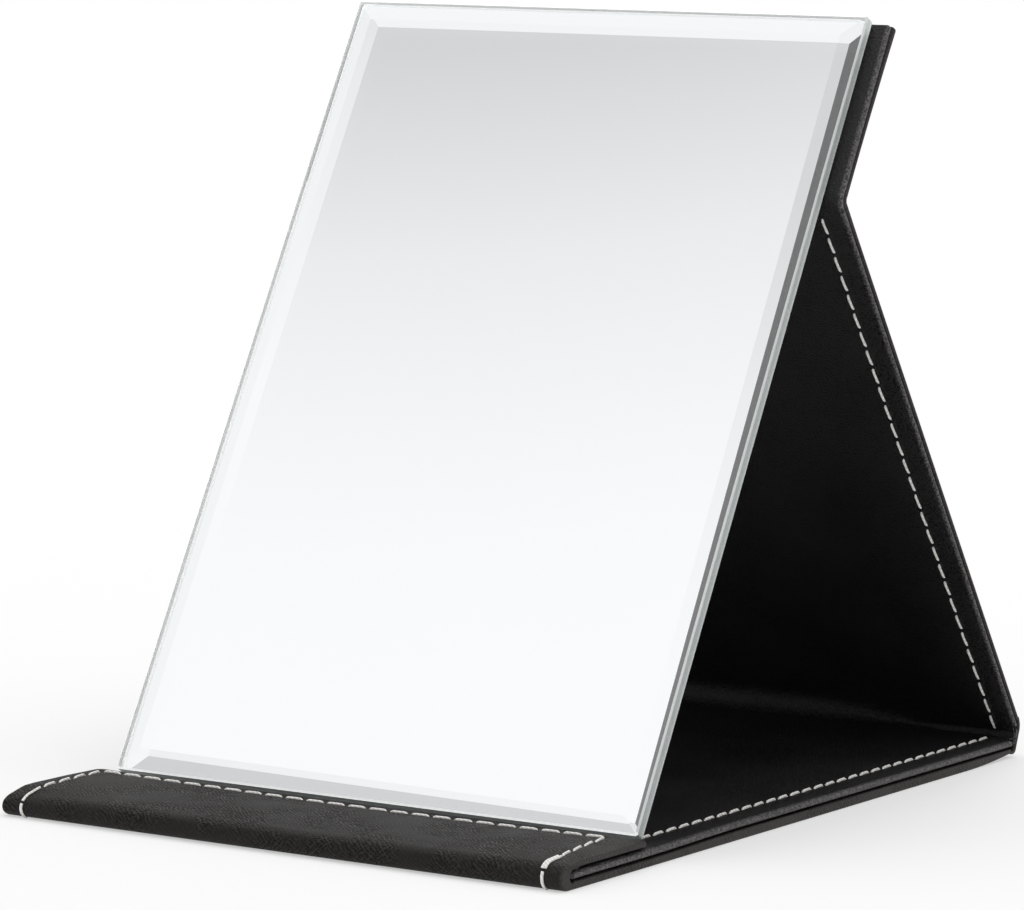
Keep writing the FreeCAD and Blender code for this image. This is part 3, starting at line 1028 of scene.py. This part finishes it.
def fill_corner(panel):
    """Lets the upper face of the lining bend loosely through the inner corner."""
    to_base = BASE.inverted() @ panel
    to_panel = to_base.inverted()

    def fill(bm):
        for vert in bm.verts:
            place = to_base @ vert.co
            along = (place - CORNER).dot(UP_CORNER)
            tight = bend_height(CORNER_RADIUS, along)
            loose = bend_height(loose_radius(place.x), along)
            on_top = (place - CORNER).dot(OUT_OF_CORNER) > tight - LOOSE_SKIN
            if on_top and loose > tight:
                vert.co = to_panel @ (place + OUT_OF_CORNER * (loose - tight))
    return fill


def make_board(node, panel, body, dress, changes=(), inside=(), **shape):
    """Leather-covered board in place of a node, and of the solids that lie inside it."""
    bm = covered_board(**shape)
    for change in changes:
        change(bm)
    piece = in_panel(bm, f"{node}_hide", panel, dress)
    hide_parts(node, *inside)
    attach(piece, body)


def make_panels():
    make_board("base_lining", BASE, "base", LINING, inside=("base_lining_board",),
               start=TONGUE_TIP, stop=BASE_LINING_END, low=BASE_LAYER, high=LINING_TOP, rim=1.1,
               free_stop=False, seams=BASE_ROWS,
               changes=(cut_lines(BEND_LINES, BASE_BEND_ROWS),
                        thin_sides(BASE_LAYER, LINING_TOP, top=0.50, foot=0.24),
                        hang_sides, press_nose, fill_corner(BASE)))
    make_board("spine_cover", SPINE, "spine", COVER,
               start=FOLD_REACH, stop=SPINE_HEIGHT - FOLD_REACH, low=0, high=SPINE_COVER_TOP,
               rim=0.5, free_start=False, free_stop=False)
    make_board("spine_lining", SPINE, "spine", LINING,
               start=2.1, stop=7.2, low=SPINE_COVER_TOP, high=1.6, rim=0.15)
    make_board("stand_cover", STAND, "stand", COVER,
               start=FOLD_REACH, stop=STAND_END, low=0, high=PANEL_LAYER, rim=0.7,
               free_start=False, free_stop=False, seams=STAND_OUTER_ROWS, seam_low=True,
               changes=(thin_sides(0, PANEL_LAYER, top=0.25, foot=0.20, fade_to=STAND_END),
                        lean_in(stand_lean)))
    make_board("stand_lining", STAND, "stand", LINING,
               start=STAND_LINING_START, stop=STAND_END - WEB_LEAD, low=PANEL_LAYER,
               high=PANEL_TOP, rim=0.7, free_start=False, free_stop=False, seams=STAND_ROWS,
               changes=(cut_lines(BEND_LINES, STAND_BEND_ROWS),
                        thin_sides(PANEL_LAYER, PANEL_TOP, top=0.40, foot=0.20, fade_to=STAND_END),
                        lean_in(stand_lean), fill_corner(STAND)))
    make_board("strip_cover", MIRROR, "mirror", COVER,
               start=VALLEY_REACH, stop=STRIP_END + STRIP_OVERHANG, low=0, high=PANEL_LAYER,
               rim=0.6, free_start=False, corner=0.7, seams=STRIP_ROWS, seam_low=True,
               changes=(thin_sides(0, PANEL_LAYER, top=0.40, foot=0.15, fade_to=VALLEY_REACH),
                        lean_in(strip_lean), flare_strip))
    make_board("strip_lining", MIRROR, "mirror", LINING,
               start=VALLEY_REACH + WEB_LEAD, stop=STRIP_END, low=PANEL_LAYER, high=PANEL_TOP,
               rim=0.7, free_start=False, corner=0.5, changes=(lean_in(strip_lean),))


# Folds between the panels
FOLD_THICK = 1.1
FOLD_RIM = 0.45
VALLEY_RIM = 0.7
WEB_LEAD = 1.0
WEB_THICK = 0.4
WEB_HALF_WIDTH = 73.3
WEB_RIM = 0.12


def end_towards(bm, way):
    """The face that looks most in a direction."""
    return max(bm.faces, key=lambda face: face.normal.dot(way))


def bent_web(start, thick, half_width, centre, turn, rim, rim_steps=6, lead=0.0, tail=0.0):
    """Leather bent round an axis across the folder, with straight runs before and after it."""
    bm = bmesh.new()
    place = Matrix.Translation((0, start[0], start[1] + thick / 2))
    size = Matrix.Diagonal((2 * half_width, abs(thick), 1, 1))
    upright = Matrix.Rotation(math.pi / 2, 4, "X")
    bmesh.ops.create_grid(bm, x_segments=1, y_segments=1, size=0.5, matrix=place @ (upright @ size))
    bmesh.ops.spin(bm, geom=[*bm.verts, *bm.edges, *bm.faces], cent=(0, *centre), axis=(1, 0, 0),
                   angle=turn, steps=8)
    bmesh.ops.holes_fill(bm, edges=bm.edges)
    bmesh.ops.recalc_face_normals(bm, faces=bm.faces)
    before = Vector((0, -1, 0))
    after = Vector((0, math.cos(turn), math.sin(turn)))
    for way, length in ((before, lead), (after, tail)):
        if length:
            pull(bm, [end_towards(bm, way)], way * length)
    bmesh.ops.recalc_face_normals(bm, faces=bm.faces)
    caps = {*end_towards(bm, before).edges, *end_towards(bm, after).edges}

    def side_edge(edge):
        at_side = all(abs(abs(vert.co.x) - half_width) < SAME for vert in edge.verts)
        return at_side and edge not in caps and edge.calc_face_angle(0) > math.radians(60)

    round_off(bm, side_edge, rim, rim_steps)
    return bm


def fold_centre(end, turn, reach):
    """Axis of a fold: it touches the outer faces of both panels where they end."""
    radius = reach / math.tan(abs(turn) / 2) + math.copysign(HINGE_DEPTH, turn)
    return (end, math.copysign(radius, turn))


def make_fold(node, panels, end, turn, reach, thick, rim, changes=()):
    """Outer leather web between two panels, bent about the same axis as its solid."""
    panel, next_panel = panels
    bm = bent_web((end, 0.0), thick, HALF_WIDTH, fold_centre(end, turn, reach), turn, rim)
    for change in changes:
        change(bm)
    piece = in_panel(bm, f"{node}_hide", panel, COVER)
    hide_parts(node)
    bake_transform(piece)


def make_folds():
    top_turn = MIRROR_TILT - STAND_TILT
    make_fold("rear_lower_fold", (BASE, SPINE), BASE_END, SPINE_TILT, FOLD_REACH,
              FOLD_THICK, FOLD_RIM, (lift_rear,))
    make_fold("rear_upper_fold", (SPINE, STAND), SPINE_HEIGHT - FOLD_REACH,
              STAND_TILT - SPINE_TILT, FOLD_REACH, FOLD_THICK, FOLD_RIM)
    make_fold("top_fold", (STAND, MIRROR), STAND_END, top_turn, VALLEY_REACH,
              PANEL_LAYER, VALLEY_RIM, (lean_in(strip_lean),))
    centre = fold_centre(STAND_END, top_turn, VALLEY_REACH)
    bm = bent_web((STAND_END, PANEL_LAYER), PANEL_LAYER, HALF_WIDTH, centre, top_turn, VALLEY_RIM,
                  lead=WEB_LEAD, tail=WEB_LEAD)
    lean_in(strip_lean)(bm)
    piece = in_panel(bm, "lining_top_web", STAND, LINING)
    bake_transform(piece)


def make_lining_webs():
    """The lining runs from the base round the inner corner to the stand: a web for each hinge."""
    start = (CORNER_START, LINING_TOP)
    centre = (CORNER_START, LINING_TOP + CORNER_RADIUS)
    lower = bent_web(start, -WEB_THICK, WEB_HALF_WIDTH, centre, math.pi / 2, WEB_RIM, 2,
                     lead=CORNER_START - BASE_LINING_END)
    upper = bent_web(start, -WEB_THICK, WEB_HALF_WIDTH, centre, STAND_TILT - math.pi / 2, WEB_RIM,
                     2, tail=STAND_LINING_START - CORNER_STOP)
    cut_lines(BEND_LINES, WEB_BEND_ROWS)(lower)
    cut_lines(BEND_LINES, ())(upper)
    quarter = Matrix.Rotation(math.pi / 2, 3, "X")
    bmesh.ops.rotate(upper, cent=(0, *centre), matrix=quarter, verts=upper.verts)
    for height in WEB_BEND_HEIGHTS:
        cut_across(upper, (0, 0, height), (0, 0, 1))
    for web in (lower, upper):
        fill_corner(BASE)(web)

    def up_corner(place):
        return BASE @ (CORNER + UP_CORNER * (place - CORNER).dot(UP_CORNER))

    low = up_corner(Vector((0, BASE_LINING_END, LINING_TOP)))
    middle = up_corner(Vector((0, CORNER_START + CORNER_RADIUS, centre[1])))
    high = up_corner(BASE.inverted() @ STAND @ Vector((0, STAND_LINING_START, PANEL_TOP)))
    lower_piece = in_panel(lower, "lining_lower_web", BASE, LINING)
    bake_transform(lower_piece)
    upper_piece = in_panel(upper, "lining_upper_web", BASE, LINING)
    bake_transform(upper_piece)


UNDER_SINK = 0.28
INNER_SINK = 0.1


def make_stitches():
    def flush(place):
        return 0.0

    stitch_row("flap_stitches", BASE, FLAP_ROWS, flap_level, 1, "flap")
    stitch_row("base_upper_stitches", BASE, BASE_ROWS, lambda place: LINING_TOP, 1, "base")
    stitch_row("base_under_stitches", BASE, UNDER_ROWS,
               lambda place: UNDER_SINK + rear_rise(place.y), -1, "base")
    stitch_row("spine_stitches", SPINE, SPINE_ROWS, flush, -1, "spine")
    stitch_row("stand_inner_stitches", STAND, STAND_ROWS, lambda place: PANEL_TOP - INNER_SINK, 1,
               "stand")
    stitch_row("stand_outer_stitches", STAND, STAND_OUTER_ROWS, flush, -1, "stand")
    stitch_row("strip_stitches", MIRROR, STRIP_ROWS, lambda place: strip_flare(place.y), -1,
               "mirror")


def narrow_corner(bm):
    """Grinds the bevel narrower towards its lower right corner, at the same slope."""
    inner = max(bm.verts, key=lambda vert: (vert.co.z, vert.co.x - vert.co.y))
    inner.co += Vector((NARROW_CORNER, -NARROW_CORNER, 0))
    rim = [vert for vert in bm.verts if vert.co.z > GLASS_BACK + 1 and vert is not inner]
    outer = max(rim, key=lambda vert: vert.co.x - vert.co.y)
    outer.co.z += NARROW_CORNER * BEVEL_DROP / BEVEL_WIDTH


def make_glass():
    """Glass plate with its wide bevel and fine arrises; its back lies just inside the silvering."""
    rim = GLASS_BACK + GLASS_THICK - BEVEL_DROP
    bm = block((-GLASS_HALF_WIDTH, GLASS_FOOT, GLASS_BACK - SILVER_OVERLAP),
               (GLASS_HALF_WIDTH, GLASS_TOP, rim))
    face = end_towards(bm, Vector((0, 0, 1)))
    bmesh.ops.inset_region(bm, faces=[face], thickness=BEVEL_WIDTH, depth=BEVEL_DROP,
                           use_even_offset=True)
    narrow_corner(bm)
    round_off(bm, lambda edge: edge.calc_face_angle(0) > math.radians(50), ARRIS, 1)
    polished, ground_side, arris = range(3)
    for item in bm.faces:
        level = abs(item.normal.z)
        ground = ground_side if level < UPRIGHT else arris
        item.material_index = ground if level < SLANTED else polished
    dress = (polished_glass(), "glass")
    glass = in_panel(bm, "bevelled_mirror_glass", MIRROR, dress, None)
    glass.data.materials.append(ground_glass())
    glass.data.materials.append(ground_arris())
    glass.data.polygons.foreach_set("use_smooth", [False] * len(glass.data.polygons))
    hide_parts("mirror_glass")
    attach(glass, "mirror")


def dress_nodes():
    """Finishes for the solids that stay as they are."""
    board = grey_board()
    magnet = plated_metal("nickel_plate", (0.50, 0.49, 0.46, 1), (0.68, 0.66, 0.62, 1))
    keeper = plated_metal("zinc_plate", (0.42, 0.43, 0.45, 1), (0.60, 0.61, 0.63, 1))
    finishes = {"mirror_silver": silvering(), "mirror_adhesive": foam_tape()}
    for name, node in frame["nodes"].items():
        if name.endswith("_board"):
            finishes[name] = board
        elif "magnet" in name:
            finishes[name] = magnet
        elif "keeper" in name:
            finishes[name] = keeper
        if name in finishes:
            node.data.materials.clear()
            node.data.materials.append(finishes[name])


make_wrap()
make_nose_stitches()
make_panels()
make_folds()
make_lining_webs()
make_stitches()
make_glass()
dress_nodes()

# Stage, in metres
FLOOR_SIZE = 6.0
SHADOW_REACH = 0.10
WHITE_REACH = 0.60
WHITE_NEAR_PART = 0.42
SOFTBOX_LEVELS = ((0.20, 1.0), (0.30, 0.99), (0.36, 0.96), (0.42, 0.92), (0.48, 0.87),
                  (0.54, 0.78), (0.60, 0.69), (0.72, 0.64))
SENSOR_WIDTH = 36.0
FOCAL_PIXELS = 5010.1
IMAGE_WIDTH = 1024
EYE = Vector((609.33, -995.6, 205.81)) * MM
TURN, RISE, ROLL = (math.radians(angle) for angle in (31.749, 6.231, 1.074))


def make_floor():
    """Pale floor that keeps the soft shadow near the part and turns into white further out."""
    f = new_finish("pale_floor")
    bm = bmesh.new()
    bmesh.ops.create_grid(bm, x_segments=1, y_segments=1, size=FLOOR_SIZE)
    floor = add_object("floor", add_mesh("floor", bm))
    reach = f.node("ShaderNodeVectorMath", {"operation": "LENGTH"}, {0: f.object_place()}, "Value")
    far = f.between(reach, SHADOW_REACH, WHITE_REACH, WHITE_NEAR_PART, 1.0)
    looked_at = f.ray("Camera") + f.ray("Glossy") + f.ray("Transmission")
    matt = f.node("ShaderNodeBsdfDiffuse", None, {"Color": grey(0.95)})
    white = f.node("ShaderNodeEmission", None, {"Color": grey(1.0), "Strength": 1.0})
    shader = f.node("ShaderNodeMixShader", None, {0: far * looked_at, 1: matt, 2: white})
    f.node("ShaderNodeOutputMaterial", None, {"Surface": shader})
    floor.data.materials.append(f.owner)


def make_world():
    """Even studio light: the camera sees white, the mirror a soft light that greys up and left."""
    world = bpy.data.worlds.new("studio")
    bpy.context.scene.world = world
    f = Finish(world)
    way = f.node("ShaderNodeTexCoord", None, None, "Generated")
    rise = f.dot(way, (0.0, 0.0, 1.0))
    share = f.between(f.dot(way, (-0.6, 0.0, 1.0)) - 0.3, 0.60, 0.80)
    stops = [(at, (level, level, level * 1.005, 1)) for at, level in SOFTBOX_LEVELS]
    soft = f.node("ShaderNodeValToRGB", {"stops": stops}, {0: share})
    left = f.between(f.dot(way, (-1.0, 0.0, 0.0)), 0.598, 0.632)
    dark = f.mix(f.between(rise, 0.55, 0.64), grey(0.185), grey(0.118))
    room = f.mix(f.between(rise, 0.0, 1.0), grey(0.62), grey(0.92))
    towards_box = f.between(f.dot(way, (-0.53, -0.50, 0.685)), 0.90, 0.95)
    mirrored = f.mix(towards_box, room, f.mix(left, soft, dark))
    lit = f.mix(f.ray("Glossy") + f.ray("Transmission"), grey(0.80), mirrored)
    colour = f.mix(f.ray("Camera"), lit, grey(1.0))
    sky = f.node("ShaderNodeBackground", None, {"Color": colour, "Strength": 1.0})
    f.node("ShaderNodeOutputWorld", None, {"Surface": sky})


def make_lamp(name, place, aim, size, power):
    light = bpy.data.lights.new(name, "AREA")
    light.shape = "SQUARE"
    light.size = size
    light.energy = power
    lamp = add_object(name, light)
    lamp.location = place
    lamp.rotation_euler = (Vector(aim) - Vector(place)).to_track_quat("-Z", "Y").to_euler()


def make_camera():
    """Long lens in front and to the right, a little above the glass's foot, as photographed."""
    level = math.cos(RISE)
    back = Vector((math.sin(TURN) * level, -math.cos(TURN) * level, math.sin(RISE)))
    right = back.cross(Vector((0, 0, -1))).normalized()
    up = back.cross(right)
    lens = bpy.data.cameras.new("camera")
    lens.sensor_width = SENSOR_WIDTH
    lens.lens = SENSOR_WIDTH * FOCAL_PIXELS / IMAGE_WIDTH
    lens.clip_start = 0.05
    camera = add_object("camera", lens)
    axes = Matrix((right, up, back)).transposed().to_4x4()
    camera.matrix_world = Matrix.Translation(EYE) @ axes @ Matrix.Rotation(ROLL, 4, "Z")
    bpy.context.scene.camera = camera


make_floor()
make_world()
make_lamp("overhead_softbox", place=(0.0, 0.25, 1.4), aim=(0, 0.1, 0), size=1.2, power=6.0)
make_camera()
bpy.context.scene.view_settings.view_transform = "Standard"
